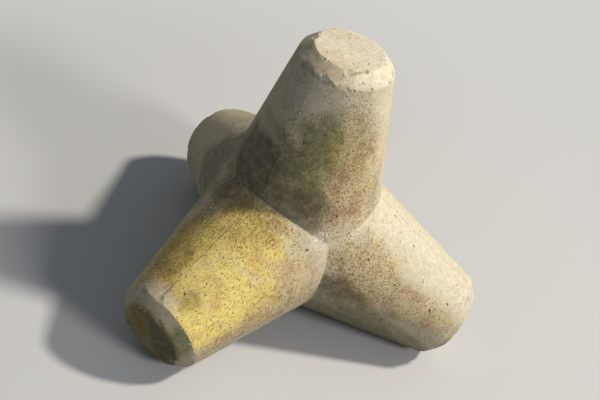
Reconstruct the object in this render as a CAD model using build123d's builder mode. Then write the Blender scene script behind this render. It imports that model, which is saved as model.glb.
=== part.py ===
from build123d import *
from math import acos, cos, degrees, radians, sin, sqrt
import os

# Concrete tetrapod: four tapered round legs, cast as one piece, whose axes meet at
# equal angles in one point. Three legs stand on the ground and the fourth points up.
# The origin is the point where the axes meet, +Z runs up the standing leg, and one
# ground leg points along +Y. All sizes are in millimetres.

# Driving dimensions
leg_reach = 1450.0          # from the meeting point to the flat end of a leg
root_radius = 540.0         # leg radius where it parts from its neighbours
tip_radius = 340.0          # leg radius at the outer edge of its bevelled end
end_bevel = 90.0            # bevel round each end, as long along the leg as it is deep
junction_radius = 12.0      # inner rounding along the lines where two legs meet
arris_radius = 8.0          # rounding on the two edges of each bevel

# The regular arrangement of the legs
leg_count = 4
neighbour_count = leg_count - 1
axis_cosine = -1.0 / neighbour_count            # cosine of the angle between two leg axes
axis_angle = degrees(acos(axis_cosine))
neighbour_turn = 360.0 / neighbour_count        # between neighbours, seen along a leg
back_azimuth = 90.0                             # the first ground leg points along +Y

# Worked out from the driving dimensions
root_station = root_radius / sqrt(2.0)          # along a leg, where neighbouring cones touch
ring_station = leg_reach - end_bevel            # along a leg, where its bevel starts
end_radius = tip_radius - end_bevel
taper = (root_radius - tip_radius) / (ring_station - root_station)
core_radius = root_radius + taper * root_station


def leaning_axis(azimuth):
    """Unit vector that leans from +Z by the angle between two legs, towards an azimuth."""
    outward = sin(radians(axis_angle))
    turn = radians(azimuth)
    return Vector(outward * cos(turn), outward * sin(turn), axis_cosine)


def leg_frame(number):
    """Plane of a leg, with Z along its axis and X towards the next leg. Leg 0 stands up."""
    ground_axes = [leaning_axis(back_azimuth + k * neighbour_turn) for k in range(neighbour_count)]
    axes = [Vector(0, 0, 1)] + ground_axes
    axis = axes[number]
    next_axis = axes[(number + 1) % leg_count]
    return Plane(origin=(0, 0, 0), x_dir=next_axis - axis * axis_cosine, z_dir=axis)


# One leg, upright: a cone with a bevelled flat end, turned about its axis. The section
# has the rounding of both edges of the bevel. At its foot the leg is cut off by the
# three planes that lie midway between it and its neighbours, so that four such legs
# fill the body and meet along exact curves.
with BuildPart() as leg:
    with BuildSketch(Plane.XZ) as half_section:
        with BuildLine():
            Polyline(
                (0, 0),
                (core_radius, 0),
                (tip_radius, ring_station),
                (end_radius, leg_reach),
                (0, leg_reach),
                close=True,
            )
        make_face()
        outer_corners = half_section.vertices().filter_by(lambda corner: corner.X > 0 and corner.Y > 0)
        fillet(outer_corners, radius=arris_radius)
    revolve(axis=Axis.Z, revolution_arc=360)
    for neighbour in range(neighbour_count):
        midway_normal = Vector(0, 0, 1) - leaning_axis(neighbour * neighbour_turn)
        split(bisect_by=Plane(origin=(0, 0, 0), z_dir=midway_normal), keep=Keep.TOP)

with BuildPart() as tetrapod:
    # The same leg, four times round the meeting point, in one casting
    for number in range(leg_count):
        with Locations(leg_frame(number)):
            add(leg.part)

    # Where two cones meet they leave an arc of an ellipse. All of these are rounded
    # together, so that they blend at the four points where three legs meet.
    fillet(tetrapod.edges().filter_by(GeomType.ELLIPSE), radius=junction_radius)

tetrapod.part.label = "tetrapod"

os.makedirs("parts", exist_ok=True)
export_step(tetrapod.part, "parts/tetrapod.step")
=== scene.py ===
from math import acos, cos, pi, radians, sin, sqrt

import bpy
import numpy as np
from mathutils import Matrix, Vector


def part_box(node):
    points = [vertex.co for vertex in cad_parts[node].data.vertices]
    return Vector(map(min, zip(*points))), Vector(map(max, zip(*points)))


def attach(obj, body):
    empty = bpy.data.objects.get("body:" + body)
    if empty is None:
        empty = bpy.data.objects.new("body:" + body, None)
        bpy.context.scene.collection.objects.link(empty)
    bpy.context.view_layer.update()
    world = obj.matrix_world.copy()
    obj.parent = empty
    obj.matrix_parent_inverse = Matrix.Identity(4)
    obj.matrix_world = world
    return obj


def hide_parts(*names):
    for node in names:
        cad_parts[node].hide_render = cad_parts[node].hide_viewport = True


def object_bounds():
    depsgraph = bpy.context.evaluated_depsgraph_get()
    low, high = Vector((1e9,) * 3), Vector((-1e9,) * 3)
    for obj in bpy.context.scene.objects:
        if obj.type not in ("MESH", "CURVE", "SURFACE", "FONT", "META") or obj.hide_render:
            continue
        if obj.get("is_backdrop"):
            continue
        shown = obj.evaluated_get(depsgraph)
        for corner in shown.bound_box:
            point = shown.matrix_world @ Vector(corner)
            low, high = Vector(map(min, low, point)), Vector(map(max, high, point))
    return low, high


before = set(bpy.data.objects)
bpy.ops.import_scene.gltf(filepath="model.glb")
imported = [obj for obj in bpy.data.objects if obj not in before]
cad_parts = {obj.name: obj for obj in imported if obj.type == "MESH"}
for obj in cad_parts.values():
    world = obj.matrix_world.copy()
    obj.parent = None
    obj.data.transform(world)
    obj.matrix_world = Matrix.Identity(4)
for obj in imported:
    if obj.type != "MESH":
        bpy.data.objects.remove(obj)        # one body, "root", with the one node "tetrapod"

cad_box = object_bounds()

# Sizes of the casting, in metres, from the part's own named dimensions
LEG_REACH = 1.450                       # meeting point of the axes to a leg's flat end
ROOT_RADIUS = 0.540                     # leg radius where it parts from its neighbours
TIP_RADIUS = 0.340                      # at the outer edge of the bevelled end
END_BEVEL = 0.090
RING_STATION = LEG_REACH - END_BEVEL    # along a leg, where the bevel starts
END_RADIUS = TIP_RADIUS - END_BEVEL
ROOT_STATION = ROOT_RADIUS / sqrt(2.0)  # where neighbouring cones touch
TAPER = (ROOT_RADIUS - TIP_RADIUS) / (RING_STATION - ROOT_STATION)
CORE_RADIUS = ROOT_RADIUS + TAPER * ROOT_STATION     # of the cone, run on to the meeting point
AXIS_ANGLE = acos(-1.0 / 3.0)           # between any two legs
BACK_AZIMUTH = radians(90.0)            # the first ground leg points along +Y
THIRD = 2.0 * pi / 3.0                  # three ground legs, and three seams along each leg

# Where three legs meet, each cone starts at its lowest station
PIT_SHARE = cos(THIRD / 2.0) / sqrt(2.0)
PIT_STATION = CORE_RADIUS * PIT_SHARE / (1.0 + TAPER * PIT_SHARE)
PIT_RADIUS = CORE_RADIUS - TAPER * PIT_STATION

# The legs: standing, back, front left and front right. Each has its turn from the upright leg
# of the section, whose X side looks at a neighbour.
UP, BACK, LEFT, RIGHT = range(4)
LEG_TURNS = [(0.0, 0.0, BACK_AZIMUTH)]
for ground_leg in range(3):
    LEG_TURNS.append((0.0, -AXIS_ANGLE, BACK_AZIMUTH + pi + ground_leg * THIRD))
LEG_MATRICES = [Matrix.Rotation(about_z, 3, "Z") @ Matrix.Rotation(about_y, 3, "Y")
                for _, about_y, about_z in LEG_TURNS]

# How the skin is laid out
EDGE_STEPS = 3                          # points in the rounding of each edge
FINE_COLUMNS = 2.0                      # narrow columns on each side of a seam, for its fin
ROW_CROWDING = 1.3                      # above 1, rows stand closer together near a meeting line
LEG_WELD, BODY_WELD = 0.0001, 0.0005    # points nearer than this become one
BLEND_ROUNDS = 2                        # times that the meeting lines are smoothed
LEAST_DIP = 0.0004                      # keeps the whole skin inside the plain casting

# Ranges of a noise: nearly all of its values, the part that cuts it into patches with bare
# ground between, and its middle
NOISE_SPAN = {"From Min": 0.3, "From Max": 0.7}
PATCHY_SPAN = {"From Min": 0.42, "From Max": 0.62}
NOISE_MIDDLE = (0.5, 0.5, 0.5)


def add(tree, kind, into=None, **settings):
    """Adds a node with its settings. Each entry of into sets an input, by its name or its
    place, to a value or to a link from a node or a socket."""
    made = tree.nodes.new(kind)
    for name, value in settings.items():
        setattr(made, name, value)
    for key, value in (into or {}).items():
        if isinstance(key, int):
            socket = made.inputs[key]
        else:
            socket = next(s for s in made.inputs if s.enabled and s.name == key)
        if isinstance(value, bpy.types.Node):
            value = next(s for s in value.outputs if s.enabled)
        if isinstance(value, bpy.types.NodeSocket):
            tree.links.new(value, socket)
        else:
            socket.default_value = value
    return made


def start_tree(name, sizes):
    """A geometry tree with its named inputs. Gives the tree, and its inputs by name."""
    tree = bpy.data.node_groups.new(name, "GeometryNodeTree")
    tree.interface.new_socket("Mesh", in_out="INPUT", socket_type="NodeSocketGeometry")
    kinds = {int: "NodeSocketInt", float: "NodeSocketFloat", tuple: "NodeSocketVector"}
    for label, value in sizes.items():
        kind = kinds.get(type(value), "NodeSocketMaterial")
        tree.interface.new_socket(label, in_out="INPUT", socket_type=kind)
    tree.interface.new_socket("Mesh", in_out="OUTPUT", socket_type="NodeSocketGeometry")
    given = tree.nodes.new("NodeGroupInput")
    return tree, {socket.name: socket for socket in given.outputs if socket.name}


def finish_tree(tree, given, shape):
    """Ends a tree: everything is real mesh, of the piece's one material."""
    shape = add(tree, "GeometryNodeRealizeInstances", {"Geometry": shape})
    shape = add(tree, "GeometryNodeSetMaterial", {"Geometry": shape, "Material": given["Concrete"]})
    add(tree, "NodeGroupOutput", {"Mesh": shape})
    return tree


def made_by(piece, tree, sizes):
    """Runs a tree on a piece with these sizes, and leaves the result as its plain mesh."""
    modifier = piece.modifiers.new(tree.name, "NODES")
    modifier.node_group = tree
    for item in tree.interface.items_tree:
        if item.in_out == "INPUT" and item.name in sizes:
            modifier[item.identifier] = sizes[item.name]
    bpy.context.view_layer.update()
    finished = piece.evaluated_get(bpy.context.evaluated_depsgraph_get())
    mesh = bpy.data.meshes.new_from_object(finished)
    piece.modifiers.remove(modifier)
    piece.data = mesh


def put_in_scene(name, data):
    """A new object of this name, at the origin."""
    made = bpy.data.objects.new(name, data)
    bpy.context.scene.collection.objects.link(made)
    return made


# Corners of the half section, each with its radius across and its station up: foot, ring,
# outer edge of the flat end, and the end's middle
CORNERS = [("Foot radius", "Foot station"), ("Tip radius", "Ring station"),
           ("End radius", "Leg reach"), (None, "Leg reach")]
ROUNDED_CORNERS = (1, 2)


def half_section(tree, given):
    """The line that is turned into a leg. It keeps its own radius and station as attributes."""
    index = add(tree, "GeometryNodeInputIndex")
    corner = add(tree, "GeometryNodeIndexSwitch", {0: index}, data_type="VECTOR")
    rounding = add(tree, "GeometryNodeIndexSwitch", {0: index}, data_type="FLOAT")
    for number, (radius, station) in enumerate(CORNERS):
        if number > 1:
            corner.index_switch_items.new()
            rounding.index_switch_items.new()
        across_up = add(tree, "ShaderNodeCombineXYZ", {"X": given[radius] if radius else 0.0,
                                                       "Y": given[station]})
        tree.links.new(across_up.outputs[0], corner.inputs[number + 1])
        if number in ROUNDED_CORNERS:
            tree.links.new(given["Edge rounding"], rounding.inputs[number + 1])
    line = add(tree, "GeometryNodeMeshLine", {"Count": len(CORNERS)})
    line = add(tree, "GeometryNodeSetPosition", {"Geometry": line, "Position": corner})
    section = add(tree, "GeometryNodeMeshToCurve", {"Mesh": line})
    section = add(tree, "GeometryNodeFilletCurve",
                  {"Curve": section, "Count": EDGE_STEPS, "Radius": rounding}, mode="POLY")

    # Rows along it, at an even spacing
    here = add(tree, "GeometryNodeInputPosition")
    next_point = add(tree, "GeometryNodeOffsetPointInCurve", {"Point Index": index, "Offset": 1})
    there = add(tree, "GeometryNodeFieldAtIndex",
                {"Value": here, "Index": next_point.outputs["Point Index"]},
                data_type="FLOAT_VECTOR")
    run = add(tree, "ShaderNodeVectorMath", {0: here, 1: there}, operation="DISTANCE")
    rows = add(tree, "ShaderNodeMath", {0: run, 1: given["Row spacing"]}, operation="DIVIDE")
    rows = add(tree, "ShaderNodeMath", {0: rows}, operation="FLOOR")
    section = add(tree, "GeometryNodeSubdivideCurve", {"Curve": section, "Cuts": rows})
    along = add(tree, "ShaderNodeSeparateXYZ", {"Vector": here})
    for name, axis in (("section_radius", "X"), ("section_station", "Y")):
        section = add(tree, "GeometryNodeStoreNamedAttribute",
                      {"Geometry": section, "Name": name, "Value": along.outputs[axis]})
    return section


def turned_leg(tree, given, section):
    """The section turned into one upright leg, whose foot follows the lines where it meets
    its neighbours. Each point keeps its distance from that line, its share of a seam's fin,
    and whether it is on an edge."""
    # Columns round the leg, numbered from a seam, then the turned surface
    thirds = given["Columns per third"]
    columns = add(tree, "ShaderNodeMath", {0: thirds, 1: 3.0}, operation="MULTIPLY")
    hoop = add(tree, "GeometryNodeCurvePrimitiveCircle", {"Resolution": columns})
    index = add(tree, "GeometryNodeInputIndex")
    hoop = add(tree, "GeometryNodeStoreNamedAttribute",
               {"Geometry": hoop, "Name": "column", "Value": index})
    leg = add(tree, "GeometryNodeCurveToMesh", {"Curve": hoop, "Profile Curve": section})

    # Turn of a column: even steps, with the narrow ones beside each seam
    column = add(tree, "GeometryNodeInputNamedAttribute", {"Name": "column"})
    sector = add(tree, "ShaderNodeMath", {0: column, 1: thirds}, operation="DIVIDE")
    sector = add(tree, "ShaderNodeMath", {0: sector}, operation="ROUND")
    passed = add(tree, "ShaderNodeMath", {0: sector, 1: thirds}, operation="MULTIPLY")
    offset = add(tree, "ShaderNodeMath", {0: column, 1: passed}, operation="SUBTRACT")
    steps = add(tree, "ShaderNodeMath", {0: offset}, operation="ABSOLUTE")
    side = add(tree, "ShaderNodeMath", {0: offset}, operation="SIGN")
    fine = add(tree, "ShaderNodeMath", {0: steps, 1: given["Fin turn"]}, operation="MULTIPLY")
    plain_steps = add(tree, "ShaderNodeMath", {0: thirds, 1: 0.5, 2: -FINE_COLUMNS},
                      operation="MULTIPLY_ADD")
    plain_turn = add(tree, "ShaderNodeMath", {0: THIRD / 2.0, 1: plain_steps}, operation="DIVIDE")
    plain = add(tree, "ShaderNodeMath", {0: steps, 1: FINE_COLUMNS}, operation="SUBTRACT")
    plain = add(tree, "ShaderNodeMath", {0: plain, 1: plain_turn}, operation="MULTIPLY")
    from_seam = add(tree, "ShaderNodeMath", {0: fine, 1: plain}, operation="MAXIMUM")
    signed = add(tree, "ShaderNodeMath", {0: from_seam, 1: side}, operation="MULTIPLY")
    turn = add(tree, "ShaderNodeMath", {0: sector, 1: THIRD, 2: signed}, operation="MULTIPLY_ADD")

    # Station at which this column meets the next leg's cone
    share = add(tree, "ShaderNodeMath", {0: from_seam}, operation="COSINE")
    share = add(tree, "ShaderNodeMath", {0: share, 1: sqrt(0.5)}, operation="MULTIPLY")
    rise = add(tree, "ShaderNodeMath", {0: given["Core radius"], 1: share}, operation="MULTIPLY")
    lean = add(tree, "ShaderNodeMath", {0: given["Taper"], 1: share, 2: 1.0},
               operation="MULTIPLY_ADD")
    meeting = add(tree, "ShaderNodeMath", {0: rise, 1: lean}, operation="DIVIDE")

    # Rows from there to just under the ring
    station = add(tree, "GeometryNodeInputNamedAttribute", {"Name": "section_station"})
    section_radius = add(tree, "GeometryNodeInputNamedAttribute", {"Name": "section_radius"})
    collar = add(tree, "ShaderNodeMath", {0: given["Ring station"], 1: given["Edge rounding"]},
                 operation="SUBTRACT")
    portion = add(tree, "ShaderNodeMapRange",
                  {"Value": station, "From Min": given["Foot station"], "From Max": collar})
    portion = add(tree, "ShaderNodeMath", {0: portion, 1: ROW_CROWDING}, operation="POWER")
    side_station = add(tree, "ShaderNodeMapRange",
                       {"Value": portion, "To Min": meeting, "To Max": collar})
    narrowing = add(tree, "ShaderNodeMath", {0: given["Taper"], 1: -1.0}, operation="MULTIPLY")
    side_radius = add(tree, "ShaderNodeMath",
                      {0: narrowing, 1: side_station, 2: given["Core radius"]},
                      operation="MULTIPLY_ADD")
    on_side = add(tree, "ShaderNodeMath", {0: station, 1: collar}, operation="LESS_THAN")
    radius = add(tree, "GeometryNodeSwitch",
                 {"Switch": on_side, "False": section_radius, "True": side_radius},
                 input_type="FLOAT")
    height = add(tree, "GeometryNodeSwitch",
                 {"Switch": on_side, "False": station, "True": side_station}, input_type="FLOAT")
    across = []
    for operation in ("COSINE", "SINE"):
        part = add(tree, "ShaderNodeMath", {0: turn}, operation=operation)
        across.append(add(tree, "ShaderNodeMath", {0: part, 1: radius}, operation="MULTIPLY"))
    position = add(tree, "ShaderNodeCombineXYZ", {"X": across[0], "Y": across[1], "Z": height})

    # What the later steps need
    clear = add(tree, "ShaderNodeMath", {0: height, 1: meeting}, operation="SUBTRACT")
    fin = add(tree, "ShaderNodeMapRange", {"Value": steps, "From Min": 0.0,
                                           "From Max": FINE_COLUMNS, "To Min": 1.0, "To Max": 0.0})
    fin = add(tree, "ShaderNodeMath", {0: fin, 1: on_side}, operation="MULTIPLY")
    spot = add(tree, "ShaderNodeCombineXYZ", {"X": section_radius, "Y": station})
    near = []
    for number in ROUNDED_CORNERS:
        corner_radius, corner_station = CORNERS[number]
        corner = add(tree, "ShaderNodeCombineXYZ", {"X": given[corner_radius],
                                                    "Y": given[corner_station]})
        away = add(tree, "ShaderNodeVectorMath", {0: spot, 1: corner}, operation="DISTANCE")
        near.append(add(tree, "ShaderNodeMath", {0: away, 1: given["Edge rounding"]},
                        operation="LESS_THAN"))
    edge = add(tree, "ShaderNodeMath", {0: near[0], 1: near[1]}, operation="MAXIMUM")
    for name, value in (("clear", clear), ("fin", fin), ("edge", edge)):
        leg = add(tree, "GeometryNodeStoreNamedAttribute",
                  {"Geometry": leg, "Name": name, "Value": value})
    leg = add(tree, "GeometryNodeSetPosition", {"Geometry": leg, "Position": position})
    leg = add(tree, "GeometryNodeMergeByDistance", {"Geometry": leg, "Distance": LEG_WELD})
    return add(tree, "GeometryNodeFlipFaces", {"Mesh": leg})


def four_legs(tree, given, leg):
    """The leg four times round the meeting point, in one skin, with rounded meeting lines."""
    turns = add(tree, "GeometryNodeIndexSwitch", {0: add(tree, "GeometryNodeInputIndex")},
                data_type="VECTOR")
    for number, angles in enumerate(LEG_TURNS):
        if number > 1:
            turns.index_switch_items.new()
        turns.inputs[number + 1].default_value = angles
    facing = add(tree, "FunctionNodeEulerToRotation", {"Euler": turns})
    centre = add(tree, "GeometryNodeMeshLine",
                 {"Count": len(LEG_TURNS), "Offset": (0.0, 0.0, 0.0)})
    body = add(tree, "GeometryNodeInstanceOnPoints",
               {"Points": centre, "Instance": leg, "Rotation": facing})
    body = add(tree, "GeometryNodeRealizeInstances", {"Geometry": body})
    body = add(tree, "GeometryNodeMergeByDistance", {"Geometry": body, "Distance": BODY_WELD})
    clear = add(tree, "GeometryNodeInputNamedAttribute", {"Name": "clear"})
    weight = add(tree, "ShaderNodeMapRange",
                 {"Value": clear, "From Min": 0.0, "From Max": given["Meeting blend"],
                  "To Min": 1.0, "To Max": 0.0}, interpolation_type="SMOOTHSTEP")
    here = add(tree, "GeometryNodeInputPosition")
    blended = add(tree, "GeometryNodeBlurAttribute",
                  {"Value": here, "Iterations": BLEND_ROUNDS, "Weight": weight},
                  data_type="FLOAT_VECTOR")
    return add(tree, "GeometryNodeSetPosition", {"Geometry": body, "Position": blended})


# The skin's dips, each with the input that gives its depth, and its noise's scale and detail.
# A scale is 1 over the size of the forms in metres. Then the noise that breaks off the fins.
SKIN_DIPS = (("Plate waves", 2.4, 2.0), ("Hollows", 12.0, 3.0), ("Grit", 48.0, 1.0))
FIN_BREAKS = {"Scale": 9.0, "Detail": 3.0, "Roughness": 0.7}


def casting_skin(tree, given, body):
    """Slow waves of the mould plates, small hollows and grit, all inwards, and broken fins
    along the seams."""
    here = add(tree, "GeometryNodeInputPosition")
    dips = []
    for label, scale, detail in SKIN_DIPS:
        noise = add(tree, "ShaderNodeTexNoise",
                    {"Vector": here, "Scale": scale, "Detail": detail})
        noise = add(tree, "ShaderNodeMapRange", {"Value": noise, **NOISE_SPAN})
        dips.append(add(tree, "ShaderNodeMath", {0: noise, 1: given[label]},
                        operation="MULTIPLY"))
    dip = dips[0]
    for more in (dips[1], dips[2], LEAST_DIP):
        dip = add(tree, "ShaderNodeMath", {0: dip, 1: more}, operation="ADD")
    broken = add(tree, "ShaderNodeTexNoise", {"Vector": here, **FIN_BREAKS})
    broken = add(tree, "ShaderNodeMapRange", {"Value": broken, **PATCHY_SPAN})
    fin = add(tree, "GeometryNodeInputNamedAttribute", {"Name": "fin"})
    ridge = add(tree, "ShaderNodeMath", {0: fin, 1: broken}, operation="MULTIPLY")
    ridge = add(tree, "ShaderNodeMath", {0: ridge, 1: given["Fin height"]}, operation="MULTIPLY")
    shift = add(tree, "ShaderNodeMath", {0: ridge, 1: dip}, operation="SUBTRACT")
    normal = add(tree, "GeometryNodeInputNormal")
    shift = add(tree, "ShaderNodeVectorMath", {0: normal, "Scale": shift}, operation="SCALE")
    return add(tree, "GeometryNodeSetPosition", {"Geometry": body, "Offset": shift})


def casting_tree(sizes):
    """The body: a half section turned into one leg, cut to meet its neighbours, four times."""
    tree, given = start_tree("tetrapod_casting", sizes)
    leg = turned_leg(tree, given, half_section(tree, given))
    return finish_tree(tree, given, casting_skin(tree, given, four_legs(tree, given, leg)))


def jagged(tree, given, cutter, detail, roughness):
    """A cutter with its points moved about by noise, so that it leaves a rough break."""
    here = add(tree, "GeometryNodeInputPosition")
    jag = add(tree, "ShaderNodeTexNoise", {"Vector": here, "Scale": given["Jag scale"],
                                           "Detail": detail, "Roughness": roughness})
    jag = add(tree, "ShaderNodeVectorMath", {0: jag.outputs["Color"], 1: NOISE_MIDDLE},
              operation="SUBTRACT")
    jag = add(tree, "ShaderNodeVectorMath", {0: jag, "Scale": given["Jag"]}, operation="SCALE")
    return add(tree, "GeometryNodeSetPosition", {"Geometry": cutter, "Offset": jag})


def cut_with(tree, given, cutters):
    """Takes the cutters out of the piece, and ends the tree."""
    cut = add(tree, "GeometryNodeMeshBoolean", {"Mesh 1": given["Mesh"], "Mesh 2": cutters},
              operation="DIFFERENCE", solver="MANIFOLD")
    return finish_tree(tree, given, cut)


def drawn_shapes(tree, given):
    """A random size for each point, most of them small. Gives the radius, the stretched shape,
    and whether it is one of the few large ones."""
    share = add(tree, "FunctionNodeRandomValue", {"Seed": given["Seed"]}, data_type="FLOAT")
    share = add(tree, "ShaderNodeMath", {0: share, 1: given["Smallness"]}, operation="POWER")
    large = add(tree, "ShaderNodeMath", {0: share, 1: given["Large from"]},
                operation="GREATER_THAN")
    radius = add(tree, "ShaderNodeMapRange",
                 {"Value": share, "To Min": given["Least radius"], "To Max": given["Most radius"]})
    stretch = add(tree, "FunctionNodeRandomValue",
                  {"Min": given["Least stretch"], "Max": given["Most stretch"]},
                  data_type="FLOAT_VECTOR")
    shape = add(tree, "ShaderNodeVectorMath", {0: stretch, "Scale": radius}, operation="SCALE")
    return radius, shape, large


def lumps_on(tree, points, facing, shape, large, plain, fine):
    """A ball on each point, stretched to its shape. The few large ones have a finer mesh."""
    balls = tree.nodes.new("GeometryNodeJoinGeometry")
    for detail in (fine, plain):        # the one linked last becomes number 0
        ball = add(tree, "GeometryNodeMeshIcoSphere", {"Radius": 1.0, "Subdivisions": detail})
        ball = add(tree, "GeometryNodeGeometryToInstance", {0: ball.outputs["Mesh"]})
        tree.links.new(ball.outputs[0], balls.inputs[0])
    lumps = add(tree, "GeometryNodeInstanceOnPoints",
                {"Points": points, "Instance": balls, "Pick Instance": True,
                 "Instance Index": large, "Rotation": facing, "Scale": shape})
    return add(tree, "GeometryNodeRealizeInstances", {"Geometry": lumps})


def broken_face_tree(sizes):
    """A wide spall on an edge: the body is cut along one rough, nearly flat face."""
    tree, given = start_tree("broken_face", sizes)
    slab = add(tree, "GeometryNodeMeshCube",
               {"Size": given["Slab"], "Vertices X": given["Steps"], "Vertices Y": given["Steps"]})
    facing = add(tree, "FunctionNodeAlignRotationToVector", {"Vector": given["Outward"]}, axis="Z")
    thickness = add(tree, "ShaderNodeSeparateXYZ", {"Vector": given["Slab"]}).outputs["Z"]
    half = add(tree, "ShaderNodeMath", {0: thickness, 1: 0.5}, operation="MULTIPLY")
    lift = add(tree, "ShaderNodeVectorMath", {0: given["Outward"], "Scale": half},
               operation="SCALE")
    middle = add(tree, "ShaderNodeVectorMath", {0: given["On face"], 1: lift}, operation="ADD")
    slab = add(tree, "GeometryNodeTransform",
               {"Geometry": slab, "Translation": middle, "Rotation": facing})
    return cut_with(tree, given, jagged(tree, given, slab, detail=5.0, roughness=0.66))


def chipped_edges_tree(sizes):
    """Shallow chips knocked off the rings and ends, here and there all round."""
    tree, given = start_tree("chipped_edges", sizes)
    drawn = add(tree, "FunctionNodeRandomValue",
                {"Probability": given["Chance"], "Seed": given["Seed"]}, data_type="BOOLEAN")
    edge = add(tree, "GeometryNodeInputNamedAttribute", {"Name": "edge"})
    picked = add(tree, "ShaderNodeMath", {0: edge, 1: drawn}, operation="MULTIPLY")
    normal = add(tree, "GeometryNodeInputNormal")
    skin = add(tree, "GeometryNodeStoreNamedAttribute",
               {"Geometry": given["Mesh"], "Name": "out", "Value": normal},
               data_type="FLOAT_VECTOR")
    spots = add(tree, "GeometryNodeMeshToPoints", {"Mesh": skin, "Selection": picked})

    # Each chip is a flat lump that dips a little into the edge, much wider than it is deep
    radius, shape, large = drawn_shapes(tree, given)
    out = add(tree, "GeometryNodeInputNamedAttribute", {"Name": "out"}, data_type="FLOAT_VECTOR")
    facing = add(tree, "FunctionNodeAlignRotationToVector", {"Vector": out}, axis="Z")
    lift = add(tree, "ShaderNodeMath", {0: radius, 1: given["Lift"]}, operation="MULTIPLY")
    lift = add(tree, "ShaderNodeVectorMath", {0: out, "Scale": lift}, operation="SCALE")
    spots = add(tree, "GeometryNodeSetPosition", {"Geometry": spots, "Offset": lift})
    lumps = lumps_on(tree, spots, facing, shape, large, plain=2, fine=3)
    lumps = jagged(tree, given, lumps, detail=3.0, roughness=0.5)
    lumps = add(tree, "GeometryNodeMeshBoolean", {"Mesh": lumps, "Self Intersection": True},
                operation="UNION", solver="EXACT")
    return cut_with(tree, given, lumps)


def bug_holes_tree(sizes):
    """Blow holes that air leaves against a mould plate: small round pits, in loose groups."""
    tree, given = start_tree("bug_holes", sizes)
    here = add(tree, "GeometryNodeInputPosition")
    group = add(tree, "ShaderNodeTexNoise",
                {"Vector": here, "Scale": given["Group scale"], "Detail": 2.0})
    group = add(tree, "ShaderNodeMapRange",
                {"Value": group, **PATCHY_SPAN, "To Min": given["Share between groups"]})
    spots = add(tree, "GeometryNodeDistributePointsOnFaces",
                {"Mesh": given["Mesh"], "Distance Min": given["Spacing"],
                 "Density Max": given["Holes per area"], "Density Factor": group,
                 "Seed": given["Seed"]}, distribute_method="POISSON")
    _, shape, large = drawn_shapes(tree, given)
    pits = lumps_on(tree, spots.outputs["Points"], spots.outputs["Rotation"], shape, large,
                    plain=1, fine=2)
    return cut_with(tree, given, pits)


concrete = bpy.data.materials.new("cast_concrete")
casting = put_in_scene("weathered_casting", bpy.data.meshes.new("weathered_casting"))

casting_sizes = {
    "Foot radius": PIT_RADIUS,
    "Foot station": PIT_STATION,
    "Tip radius": TIP_RADIUS,
    "Ring station": RING_STATION,
    "End radius": END_RADIUS,
    "Leg reach": LEG_REACH,
    "Core radius": CORE_RADIUS,
    "Taper": TAPER,
    "Edge rounding": 0.012,
    "Row spacing": 0.020,
    "Columns per third": 54,
    "Fin turn": radians(0.3),
    "Fin height": 0.0030,
    "Meeting blend": 0.022,
    "Plate waves": 0.0022,
    "Hollows": 0.0014,
    "Grit": 0.0005,
    "Concrete": concrete,
}
made_by(casting, casting_tree(casting_sizes), casting_sizes)

# Wide spalls on the rings. Each has its leg, turn from the leg's X side in degrees, slope of the
# face from the leg's axis in degrees, and how far in from the ring the face crosses the bevel,
# in metres.
SPALLS = [(UP, 106.0, 22.0, 0.024), (UP, 131.0, 24.0, 0.030), (UP, 156.0, 26.0, 0.022),
          (UP, -75.0, 40.0, 0.012), (BACK, 70.0, 38.0, 0.022), (LEFT, 28.0, 36.0, 0.014),
          (RIGHT, 165.0, 35.0, 0.018)]
face_sizes = {
    "Slab": (0.60, 0.60, 0.16),
    "Steps": 62,
    "Outward": (0.0, 0.0, 1.0),
    "On face": (0.0, 0.0, 0.0),
    "Jag": 0.046,
    "Jag scale": 10.0,
    "Concrete": concrete,
}
spalling = broken_face_tree(face_sizes)
for on_leg, bearing, slope, inward in SPALLS:
    around, up = radians(bearing), radians(slope)
    outward = Vector((cos(up) * cos(around), cos(up) * sin(around), sin(up)))
    crossing = Vector(((TIP_RADIUS - inward) * cos(around), (TIP_RADIUS - inward) * sin(around),
                       RING_STATION + inward))
    face_sizes["Outward"] = tuple(LEG_MATRICES[on_leg] @ outward)
    face_sizes["On face"] = tuple(LEG_MATRICES[on_leg] @ crossing)
    made_by(casting, spalling, face_sizes)

# Chips and pits: their radii in metres lie mostly near the least, the more so the higher the
# smallness. A draw from 0 to 1 that comes out past "Large from" gets the finer mesh.
chip_sizes = {
    "Chance": 0.045,
    "Least radius": 0.012,
    "Most radius": 0.060,
    "Smallness": 2.5,
    "Large from": 0.4,
    "Least stretch": (0.8, 0.8, 0.38),
    "Most stretch": (1.6, 1.6, 0.52),
    "Lift": 0.28,
    "Jag": 0.014,
    "Jag scale": 40.0,
    "Seed": 11,
    "Concrete": concrete,
}
made_by(casting, chipped_edges_tree(chip_sizes), chip_sizes)

hole_sizes = {
    "Spacing": 0.040,
    "Holes per area": 220.0,
    "Group scale": 3.5,
    "Share between groups": 0.3,
    "Least radius": 0.0035,
    "Most radius": 0.0110,
    "Smallness": 4.0,
    "Large from": 0.35,
    "Least stretch": (0.7, 0.7, 0.5),
    "Most stretch": (1.3, 1.3, 1.0),
    "Seed": 3,
    "Concrete": concrete,
}
made_by(casting, bug_holes_tree(hole_sizes), hole_sizes)

SHARP_FROM = radians(38.0)              # an edge that bends more than this stays crisp
casting.data.shade_smooth()
casting.data.set_sharp_from_angle(angle=SHARP_FROM)

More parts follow.
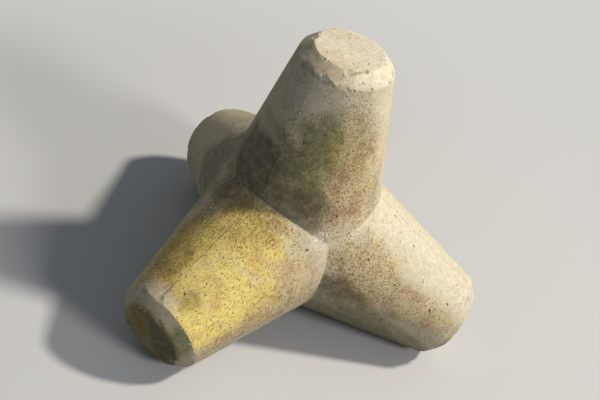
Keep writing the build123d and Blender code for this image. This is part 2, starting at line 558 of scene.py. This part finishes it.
# Where things grow on the casting, where it stays clean, and where shade is painted on. Each patch
# has its leg, station along it in metres, turn round it in degrees from its side that looks at the
# standing leg (on that leg, at the back one), half length in metres, half width in degrees, and
# strength.
GROWTH = {
    "gold_algae": [
        (LEFT, 0.98, 22.0, 0.50, 40.0, 1.0), (LEFT, 0.62, -14.0, 0.26, 50.0, 0.8),
        (LEFT, 1.12, 62.0, 0.36, 34.0, 0.6), (RIGHT, 0.72, 42.0, 0.09, 6.0, 0.3)],
    "yellow_algae": [
        (LEFT, 1.10, -38.0, 0.60, 60.0, 1.0), (LEFT, 0.78, -18.0, 0.48, 46.0, 0.8),
        (LEFT, 1.45, 66.0, 0.03, 60.0, 0.4), (UP, 0.98, 174.0, 0.20, 16.0, 0.12)],
    "olive_algae": [
        (LEFT, 1.21, -25.0, 0.09, 11.0, 0.8), (LEFT, 1.06, 12.0, 0.15, 10.0, 0.6),
        (LEFT, 1.45, 40.0, 0.03, 400.0, 1.0), (LEFT, 1.41, 120.0, 0.10, 60.0, 0.6),
        (LEFT, 1.05, 76.0, 0.44, 24.0, 0.6), (LEFT, 0.46, -8.0, 0.12, 26.0, 0.5),
        (RIGHT, 1.42, 90.0, 0.08, 50.0, 0.5), (UP, 0.92, 186.0, 0.36, 34.0, 0.45)],
    # Partly green algae, partly painted shade: on the standing leg and shaded undersides it is the yellow
    # algae coloured as it looks in shade
    "green_algae_and_painted_shade": [
        (UP, 0.78, 146.0, 0.46, 28.0, 1.0), (UP, 1.02, 155.0, 0.26, 17.0, 0.9),
        (RIGHT, 0.92, 86.0, 0.12, 6.0, 0.8), (RIGHT, 0.62, 84.0, 0.10, 6.0, 0.8),
        (LEFT, 1.41, -66.0, 0.07, 36.0, 1.0), (RIGHT, 0.80, 108.0, 0.70, 22.0, 0.4),
        (BACK, 0.80, 20.0, 0.50, 50.0, 0.4)],
    # Partly dark growth, partly painted shade: painted shadow of the standing leg on the left leg's upper
    # part, painted shade on the right leg's underside and the standing leg's shaded low side
    "dark_growth_and_painted_shade": [
        (UP, 0.58, 106.0, 0.46, 50.0, 1.0), (UP, 0.40, 146.0, 0.26, 40.0, 0.9),
        (UP, 0.40, 72.0, 0.26, 40.0, 0.7),
        (LEFT, 0.42, 68.0, 0.32, 34.0, 0.8), (LEFT, 0.40, 26.0, 0.22, 40.0, 0.9),
        (LEFT, 1.26, 0.0, 0.13, 1.0, 0.5), (LEFT, 1.45, -70.0, 0.03, 130.0, 0.9),
        (RIGHT, 0.85, 122.0, 0.85, 34.0, 0.7), (RIGHT, 0.50, 130.0, 0.45, 50.0, 0.6),
        (RIGHT, 0.40, 86.0, 0.24, 14.0, 0.8), (BACK, 0.48, -60.0, 0.38, 50.0, 0.8)],
    "tan_stain": [
        (LEFT, 0.60, -74.0, 0.36, 42.0, 1.0), (LEFT, 0.95, -88.0, 0.60, 24.0, 0.9),
        (LEFT, 1.28, 14.0, 0.12, 34.0, 0.5), (LEFT, 0.62, -20.0, 0.30, 50.0, 0.5),
        (RIGHT, 0.58, 62.0, 0.46, 34.0, 1.0), (RIGHT, 1.05, 68.0, 0.50, 22.0, 0.9),
        (UP, 0.62, 186.0, 0.56, 48.0, 1.0), (UP, 1.14, 176.0, 0.24, 22.0, 0.3),
        (UP, 1.41, 110.0, 0.06, 70.0, 0.5), (BACK, 0.70, 180.0, 0.50, 50.0, 0.6)],
    "brown_lichen": [
        (UP, 0.60, 184.0, 0.50, 40.0, 1.3), (UP, 1.04, 182.0, 0.36, 30.0, 0.8),
        (UP, 0.46, 206.0, 0.36, 40.0, 1.1), (UP, 0.76, 140.0, 0.50, 44.0, 0.7),
        (RIGHT, 0.50, 64.0, 0.46, 36.0, 1.2), (RIGHT, 0.90, 68.0, 0.66, 22.0, 0.5),
        (LEFT, 0.50, 4.0, 0.48, 56.0, 1.3), (LEFT, 0.92, 24.0, 0.60, 34.0, 1.2),
        (LEFT, 0.85, -90.0, 0.66, 20.0, 1.0), (LEFT, 0.80, -36.0, 0.70, 64.0, 0.42),
        (BACK, 0.60, 0.0, 0.40, 60.0, 0.6), (BACK, 0.60, 150.0, 0.40, 50.0, 0.5)],
    "clean_face": [
        (LEFT, 1.33, 12.0, 0.11, 36.0, 1.0), (UP, 1.24, 122.0, 0.20, 40.0, 0.9),
        (UP, 1.23, 230.0, 0.20, 40.0, 0.8), (RIGHT, 0.95, 0.0, 0.80, 54.0, 1.0),
        (UP, 1.45, 0.0, 0.07, 400.0, 1.0)],
    "bleached_end": [
        (UP, 1.45, 0.0, 0.14, 400.0, 1.0), (RIGHT, 1.45, 0.0, 0.14, 60.0, 0.5)],
    "pale_specks": [
        (LEFT, 0.25, -54.0, 0.09, 12.0, 1.0), (UP, 0.27, 174.0, 0.08, 10.0, 1.0)],
}
KEPT_OFF_CLEAN_FACES = ("gold_algae", "yellow_algae", "olive_algae", "green_algae_and_painted_shade", "brown_lichen")
BORDER = (0.45, 1.0)        # a patch is whole up to the first share of its size, gone at the second
BORDER_WANDER = 0.34        # how far its border may leave the oval, as a share of its size

# In metres: depths between which a dip of the skin becomes a pit, and distances from a ring or an
# end's edge between which a break there becomes a hole in the side
PIT_DEPTHS = (0.0045, 0.0080)
EDGE_DISTANCES = (0.130, 0.160)


def leg_places(points):
    """Each point's leg, and its station, radius and turn in degrees on that leg."""
    in_legs = [points @ np.array(matrix) for matrix in LEG_MATRICES]
    leg = np.stack([local[:, 2] for local in in_legs]).argmax(0)
    x, y, station = np.stack(in_legs)[leg, np.arange(len(points))].T
    return leg, station, np.hypot(x, y), np.degrees(np.arctan2(y, x))


def wobble(points):
    """A slow unevenness between -1 and 1, which takes the borders of the patches off their
    ovals. Its waves are 0.6 to 0.9 m long, with finer ones of about 0.15 m."""
    x, y, z = points.T
    slow = (np.sin(9.0 * x + 2.0 * np.sin(7.0 * y)) + np.sin(8.0 * y + 2.0 * np.sin(9.0 * z))
            + np.sin(10.0 * z))
    fine = (np.sin(31.0 * x + 27.0 * z) + np.sin(29.0 * y - 24.0 * z)
            + np.sin(37.0 * z + 22.0 * x))
    return slow / 5.0 + fine / 7.5


def smooth(low, high, value):
    """0 below low, 1 above high, and a soft step between."""
    share = np.clip((value - low) / (high - low), 0.0, 1.0)
    return share * share * (3.0 - 2.0 * share)


mesh = casting.data
points = np.zeros(len(mesh.vertices) * 3)
mesh.vertices.foreach_get("co", points)
points = points.reshape(-1, 3)
leg, station, radius, turn = leg_places(points)
uneven = BORDER_WANDER * wobble(points)
masks = {}
for name, patches in GROWTH.items():
    masks[name] = np.zeros(len(points))
    for on_leg, middle, bearing, half_length, half_width, strength in patches:
        around = (turn - bearing + 180.0) % 360.0 - 180.0
        away = np.hypot((station - middle) / half_length, around / half_width) + uneven
        # A patch keeps to its surface: a leg's side, or its bevel and end
        same_surface = (station > RING_STATION) == (middle > RING_STATION)
        patch = strength * (leg == on_leg) * same_surface * (1.0 - smooth(*BORDER, away))
        masks[name] = np.maximum(masks[name], patch)
for name in KEPT_OFF_CLEAN_FACES:
    masks[name] = masks[name] * (1.0 - masks["clean_face"])

# Depth under the even skin, which tells pits and breaks from it
slant = sqrt(1.0 + TAPER * TAPER)
depth = np.minimum.reduce([(CORE_RADIUS - TAPER * station - radius) / slant,
                           (TIP_RADIUS + RING_STATION - radius - station) / sqrt(2.0),
                           LEG_REACH - station])
near_edge = np.minimum(np.hypot(radius - TIP_RADIUS, station - RING_STATION),
                       np.hypot(radius - END_RADIUS, station - LEG_REACH))
pitted = smooth(*PIT_DEPTHS, depth)
masks["broken_edge"] = pitted * (1.0 - smooth(*EDGE_DISTANCES, near_edge))
# Holes away from the edges, darkened in the material as painted shade
masks["painted_hole_shade"] = pitted - masks["broken_edge"]
masks["seam_line"] = np.zeros(len(points))
mesh.attributes["fin"].data.foreach_get("value", masks["seam_line"])

# The mesh keeps the masks, and nothing that only the trees needed
for name in ("section_radius", "section_station", "column", "clear", "fin", "edge", "out", "id"):
    if name in mesh.attributes:
        mesh.attributes.remove(mesh.attributes[name])
for name, mask in masks.items():
    mesh.attributes.new(name, "FLOAT", "POINT").data.foreach_set("value", mask)


def linear(colour):
    """A hex colour, as it shows on a screen, turned to the linear values that a shader takes."""
    parts = [int(colour[start:start + 2], 16) / 255.0 for start in (1, 3, 5)]
    return [c / 12.92 if c <= 0.04045 else ((c + 0.055) / 1.055) ** 2.4 for c in parts] + [1.0]


# Plain concrete cast against steel plates, aged by sun and salt spray. The cement film has gone
# from it, so the eye meets fine sand of a warm cream to tan, matt, with pinholes and darker
# specks of lichen, and films of algae where spray dries slowly. Some of the dark and green films
# are painted shade.
CONCRETE_IOR = 1.50
concrete.use_nodes = True
tree = concrete.node_tree
shader = tree.nodes["Principled BSDF"]
shader.inputs["IOR"].default_value = CONCRETE_IOR
where = add(tree, "ShaderNodeTexCoord").outputs["Object"]
growth = {name: add(tree, "ShaderNodeAttribute", attribute_name=name).outputs["Fac"]
          for name in masks}

# Scale, detail and roughness of each noise. A scale is 1 over the feature's size in metres. Sand
# of 1 to 3 mm is drawn at 9 mm, to show.
noises = {}
for name, scale, detail, roughness in (
        ("pour", 1.7, 4.0, 0.55), ("cloud", 6.5, 5.0, 0.62), ("mottle", 22.0, 4.0, 0.65),
        ("sand", 110.0, 2.0, 0.7), ("bend", 70.0, 3.0, 0.60), ("blotch", 4.2, 4.0, 0.6),
        ("film", 15.0, 6.0, 0.72)):
    noises[name] = add(tree, "ShaderNodeTexNoise", {"Vector": where, "Scale": scale,
                                                    "Detail": detail, "Roughness": roughness})

# The concrete itself: two tones of one pour, clouded here and there, and pale where it is clean
pour = add(tree, "ShaderNodeMapRange", {"Value": noises["pour"], "From Min": 0.36,
                                        "From Max": 0.64})
colour = add(tree, "ShaderNodeMix",
             {"Factor": pour, "A": linear("#DAC8A4"), "B": linear("#E5D8B8")}, data_type="RGBA")
cloud = add(tree, "ShaderNodeMapRange", {"Value": noises["cloud"], "From Min": 0.50,
                                         "From Max": 0.72, "To Max": 0.45})
clean = add(tree, "ShaderNodeMath", {0: growth["clean_face"], 1: 0.85}, operation="MULTIPLY")
for share, base in ((cloud, "#B9A784"), (clean, "#E6D9BB")):
    colour = add(tree, "ShaderNodeMix", {"Factor": share, "A": colour, "B": linear(base)},
                 data_type="RGBA")

# Stains and films of algae over the concrete, with painted shade in the dark and green films. Each
# has its fresh colour, its old one in patches of 50 to 150 mm, the noise that breaks it up with
# that noise's range, and its least and most strength.
FILMS = (("bleached_end", "#F3E7CB", "#E8DAB9", "film", 0.26, 0.56, 0.60, 0.95),
         ("tan_stain", "#DFC48E", "#C49D74", "film", 0.30, 0.62, 0.40, 0.90),
         # The green film is partly green algae and partly painted shade, the yellow algae as it looks in
         # shade
         ("green_algae_and_painted_shade", "#7F8748", "#65703F", "film", 0.30, 0.62, 0.30, 0.90),
         ("gold_algae", "#F4D068", "#D6B056", "film", 0.24, 0.58, 0.45, 0.95),
         ("yellow_algae", "#FEE47E", "#EBCB74", "film", 0.22, 0.56, 0.45, 0.97),
         ("olive_algae", "#A08E3C", "#756530", "blotch", 0.38, 0.62, 0.35, 0.85),
         # The dark film is partly growth and partly painted shade
         ("dark_growth_and_painted_shade", "#6F6D54", "#585443", "film", 0.26, 0.58, 0.45, 0.95))
aging = add(tree, "ShaderNodeMapRange", {"Value": noises["cloud"], "From Min": 0.46,
                                         "From Max": 0.62})
for name, fresh, old, noise, low, high, least, most in FILMS:
    patchy = add(tree, "ShaderNodeMapRange", {"Value": noises[noise], "From Min": low,
                                              "From Max": high, "To Min": least, "To Max": most})
    film = add(tree, "ShaderNodeMath", {0: growth[name], 1: patchy}, operation="MULTIPLY")
    aged = add(tree, "ShaderNodeMix", {"Factor": aging, "A": linear(fresh), "B": linear(old)},
               data_type="RGBA")
    colour = add(tree, "ShaderNodeMix", {"Factor": film, "A": colour, "B": aged},
                 data_type="RGBA")

# Lichen in small dark dots of 4 to 12 mm, the smallest that show: some cells of a loose grid
# hold one, more of them where it grows. Two sizes of grid, each with its cells to a metre and
# how strongly the dots show. A dot's rim and core are shares of its cell.
DOT_RIM, DOT_CORE = 0.52, 0.22
STRAY_DOTS = 0.04                       # share of the cells that hold one on bare concrete
GRID_BEND = 0.02                        # how far noise pushes the grid out of line, in metres
bend = add(tree, "ShaderNodeVectorMath", {0: noises["bend"], "Scale": GRID_BEND},
           operation="SCALE")
bend = add(tree, "ShaderNodeVectorMath", {0: where, 1: bend}, operation="ADD")
thick = add(tree, "ShaderNodeMapRange", {"Value": noises["film"], "From Min": 0.34,
                                         "From Max": 0.60, "To Min": 0.25, "To Max": 1.0})
crowd = add(tree, "ShaderNodeMath", {0: growth["brown_lichen"], 1: thick}, operation="MULTIPLY")
crowd = add(tree, "ShaderNodeMath", {0: crowd, 1: STRAY_DOTS}, operation="ADD")
for grid, strength in ((62.0, 0.68), (118.0, 0.80)):
    cells = add(tree, "ShaderNodeTexVoronoi", {"Vector": bend, "Scale": grid})
    drawn = add(tree, "ShaderNodeSeparateColor", {"Color": cells.outputs["Color"]})
    dot = add(tree, "ShaderNodeMapRange",
              {"Value": cells.outputs["Distance"], "From Min": DOT_RIM, "From Max": DOT_CORE,
               "To Max": strength}, interpolation_type="SMOOTHSTEP")
    held = add(tree, "ShaderNodeMath", {0: drawn.outputs["Red"], 1: crowd}, operation="LESS_THAN")
    held = add(tree, "ShaderNodeMath", {0: held, 1: dot}, operation="MULTIPLY")
    lichen = add(tree, "ShaderNodeMix", {"Factor": drawn.outputs["Green"],
                                         "A": linear("#5A4828"), "B": linear("#85603A")},
                 data_type="RGBA")
    colour = add(tree, "ShaderNodeMix", {"Factor": held, "A": colour, "B": lichen},
                 data_type="RGBA")

# Pale specks in the hollow where three legs meet
pale_speck_share = add(tree, "ShaderNodeMapRange", {"Value": noises["bend"], "From Min": 0.50,
                                         "From Max": 0.44})
pale_speck_share = add(tree, "ShaderNodeMath", {0: pale_speck_share, 1: growth["pale_specks"]}, operation="MULTIPLY")
colour = add(tree, "ShaderNodeMix", {"Factor": pale_speck_share, "A": colour, "B": linear("#F2EAD8")},
             data_type="RGBA")

# Stones of 10 to 20 mm show in the breaks, painted shade darkens the holes, and a dark line runs along a
# seam
stones = add(tree, "ShaderNodeTexVoronoi", {"Vector": where, "Scale": 60.0})
tones = add(tree, "ShaderNodeSeparateColor", {"Color": stones.outputs["Color"]})
stone = add(tree, "ShaderNodeMix", {"Factor": tones.outputs["Red"], "A": linear("#A0947F"),
                                    "B": linear("#D8CBB0")}, data_type="RGBA")
for name, base, share in (("broken_edge", stone, 0.75), ("painted_hole_shade", linear("#6B5A40"), 0.6),
                          ("seam_line", linear("#8B6F4F"), 0.4)):
    held = add(tree, "ShaderNodeMath", {0: growth[name], 1: share}, operation="MULTIPLY")
    colour = add(tree, "ShaderNodeMix", {"Factor": held, "A": colour, "B": base},
                 data_type="RGBA")

# Sand grain and mottling as a lighter and darker tone of whatever is there
for name, low, high in (("mottle", 0.87, 1.13), ("sand", 0.82, 1.18)):
    tone = add(tree, "ShaderNodeMapRange", {"Value": noises[name], **NOISE_SPAN,
                                            "To Min": low, "To Max": high})
    colour = add(tree, "ShaderNodeVectorMath", {0: colour, "Scale": tone}, operation="SCALE")
tree.links.new(colour.outputs[0], shader.inputs["Base Color"])

# Matt everywhere, a little less so where the mottling is dark
gloss = add(tree, "ShaderNodeMapRange", {"Value": noises["mottle"], **NOISE_SPAN,
                                         "To Min": 0.82, "To Max": 0.96})
tree.links.new(gloss.outputs["Result"], shader.inputs["Roughness"])

# Relief too fine for the mesh: sand grain, low swells of the mottling, and pinholes of 5 to 10 mm
pinholes = add(tree, "ShaderNodeTexVoronoi", {"Vector": where, "Scale": 38.0})
relief = add(tree, "ShaderNodeMapRange", {"Value": pinholes.outputs["Distance"],
                                          "From Min": 0.10, "From Max": 0.20})
for name, share in (("sand", 0.5), ("mottle", 1.2)):
    relief = add(tree, "ShaderNodeMath", {0: noises[name], 1: share, 2: relief},
                 operation="MULTIPLY_ADD")
bump = add(tree, "ShaderNodeBump", {"Strength": 0.8, "Distance": 0.0016, "Height": relief})
tree.links.new(bump.outputs["Normal"], shader.inputs["Normal"])

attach(casting, "root")
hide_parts("tetrapod")


def seen_directly(tree):
    """1 for the rays that show a thing to the camera, also through metal and glass, and 0 for
    those that it lights other things with."""
    ray = add(tree, "ShaderNodeLightPath")
    seen = add(tree, "ShaderNodeMath",
               {0: ray.outputs["Is Camera Ray"], 1: ray.outputs["Is Glossy Ray"]},
               operation="MAXIMUM")
    return add(tree, "ShaderNodeMath", {0: seen, 1: ray.outputs["Is Transmission Ray"]},
               operation="MAXIMUM")


# Floor under the three lower ends, wide enough for every view
FLOOR_REACH = 90.0
floor_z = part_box("tetrapod")[0].z
floor_corners = [(x * FLOOR_REACH, y * FLOOR_REACH, floor_z)
                 for x, y in ((-1, -1), (1, -1), (1, 1), (-1, 1))]
floor_mesh = bpy.data.meshes.new("studio_floor")
floor_mesh.from_pydata(floor_corners, [], [(0, 1, 2, 3)])
floor = put_in_scene("studio_floor", floor_mesh)

# Matt paint, pale to the camera. It throws less light back at the object than it shows.
paint = bpy.data.materials.new("pale_floor_paint")
paint.use_nodes = True
tree = paint.node_tree
seen = seen_directly(tree)
shown = add(tree, "ShaderNodeMix", {"Factor": seen, "A": linear("#666A70"),
                                    "B": linear("#DEDCD9")}, data_type="RGBA")
coat = tree.nodes["Principled BSDF"]
tree.links.new(next(s for s in shown.outputs if s.enabled), coat.inputs["Base Color"])
coat.inputs["Roughness"].default_value = 0.9
coat.inputs["Specular IOR Level"].default_value = 0.0

# Past the object's shadow, between these distances in metres, the floor runs out into an even
# pale backdrop
BACKDROP = "#D2D0CC"
FLOOR_FADE = (2.7, 5.4)
away = add(tree, "ShaderNodeVectorMath", {0: add(tree, "ShaderNodeTexCoord").outputs["Object"]},
           operation="LENGTH")
away = add(tree, "ShaderNodeMapRange",
           {"Value": away, "From Min": FLOOR_FADE[0], "From Max": FLOOR_FADE[1]},
           interpolation_type="SMOOTHSTEP")
even = add(tree, "ShaderNodeMath", {0: away, 1: seen}, operation="MULTIPLY")
glow = add(tree, "ShaderNodeEmission", {"Color": linear(BACKDROP)})
blend = add(tree, "ShaderNodeMixShader", {0: even, 1: coat, 2: glow})
tree.links.new(blend.outputs[0], tree.nodes["Material Output"].inputs["Surface"])
floor_mesh.materials.append(paint)
floor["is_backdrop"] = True

# Camera at the photograph's viewing angle: it looks down from the object's front left, and is
# rolled a little. The shifts turn its aim to the left and down, so that the object stands in
# the middle of the frame.
CAMERA_PLACE = (-4.83, -7.89, 7.05)
LINE_OF_SIGHT = (0.4371, 0.6898, -0.5773)
CAMERA_TOP = (0.0077, 0.6390, 0.7693)
SHIFT_ACROSS, SHIFT_DOWN = 12.5 / 620.0, 13.5 / 620.0
SENSOR_WIDTH, LENS = 36.0, 96.7         # in millimetres
camera_data = bpy.data.cameras.new("photo_angle")
camera_data.sensor_width = SENSOR_WIDTH
camera_data.lens = LENS
camera = put_in_scene("photo_angle", camera_data)
bpy.context.scene.camera = camera
look = Vector(LINE_OF_SIGHT).normalized()
top = Vector(CAMERA_TOP)
top = (top - look * top.dot(look)).normalized()
side = look.cross(top)
aim = (look - side * SHIFT_ACROSS - top * SHIFT_DOWN).normalized()
top = (top - aim * top.dot(aim)).normalized()
facing = Matrix((aim.cross(top), top, -aim)).transposed()
camera.matrix_world = Matrix.Translation(CAMERA_PLACE) @ facing.to_4x4()

# Soft key from the photograph's light side, a weak fill from the front and an even cool
# surround. The lamps stand far off, so that the floor is lit evenly. Each has its azimuth and
# height in degrees, distance and width in metres, power in watts, and tint.
LAMPS = (("soft_key", -16.0, 48.0, 42.0, 4.5, 12800.0, (1.0, 0.96, 0.88)),
         ("weak_fill", -64.0, 30.0, 36.0, 9.0, 4400.0, (0.97, 0.97, 1.0)))
for name, azimuth, height, distance, width, watts, tint in LAMPS:
    around, up = radians(azimuth), radians(height)
    toward = Vector((cos(around) * cos(up), sin(around) * cos(up), sin(up)))
    lamp_data = bpy.data.lights.new(name, "AREA")
    lamp_data.shape = "DISK"
    lamp_data.size = width
    lamp_data.energy = watts
    lamp_data.color = tint
    lamp = put_in_scene(name, lamp_data)
    facing = toward.to_track_quat("Z", "Y").to_matrix()
    lamp.matrix_world = Matrix.Translation(toward * distance) @ facing.to_4x4()

SURROUND_TINT, SURROUND_STRENGTH = (0.80, 0.90, 1.0, 1.0), 0.17
world = bpy.data.worlds.new("pale_surround")
bpy.context.scene.world = world
world.use_nodes = True
tree = world.node_tree
surround = add(tree, "ShaderNodeBackground",
               {"Color": SURROUND_TINT, "Strength": SURROUND_STRENGTH})
shown = add(tree, "ShaderNodeBackground", {"Color": linear(BACKDROP), "Strength": 1.0})
blend = add(tree, "ShaderNodeMixShader", {0: seen_directly(tree), 1: surround, 2: shown})
tree.links.new(blend.outputs[0], tree.nodes["World Output"].inputs["Surface"])
bpy.context.scene.view_settings.view_transform = "Standard"

boxes = {"cad": [list(corner) for corner in cad_box], "visual": [list(corner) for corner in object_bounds()]}
for name in ("cad", "visual"):
    boxes[name + "_size"] = [high - low for low, high in zip(*boxes[name])]
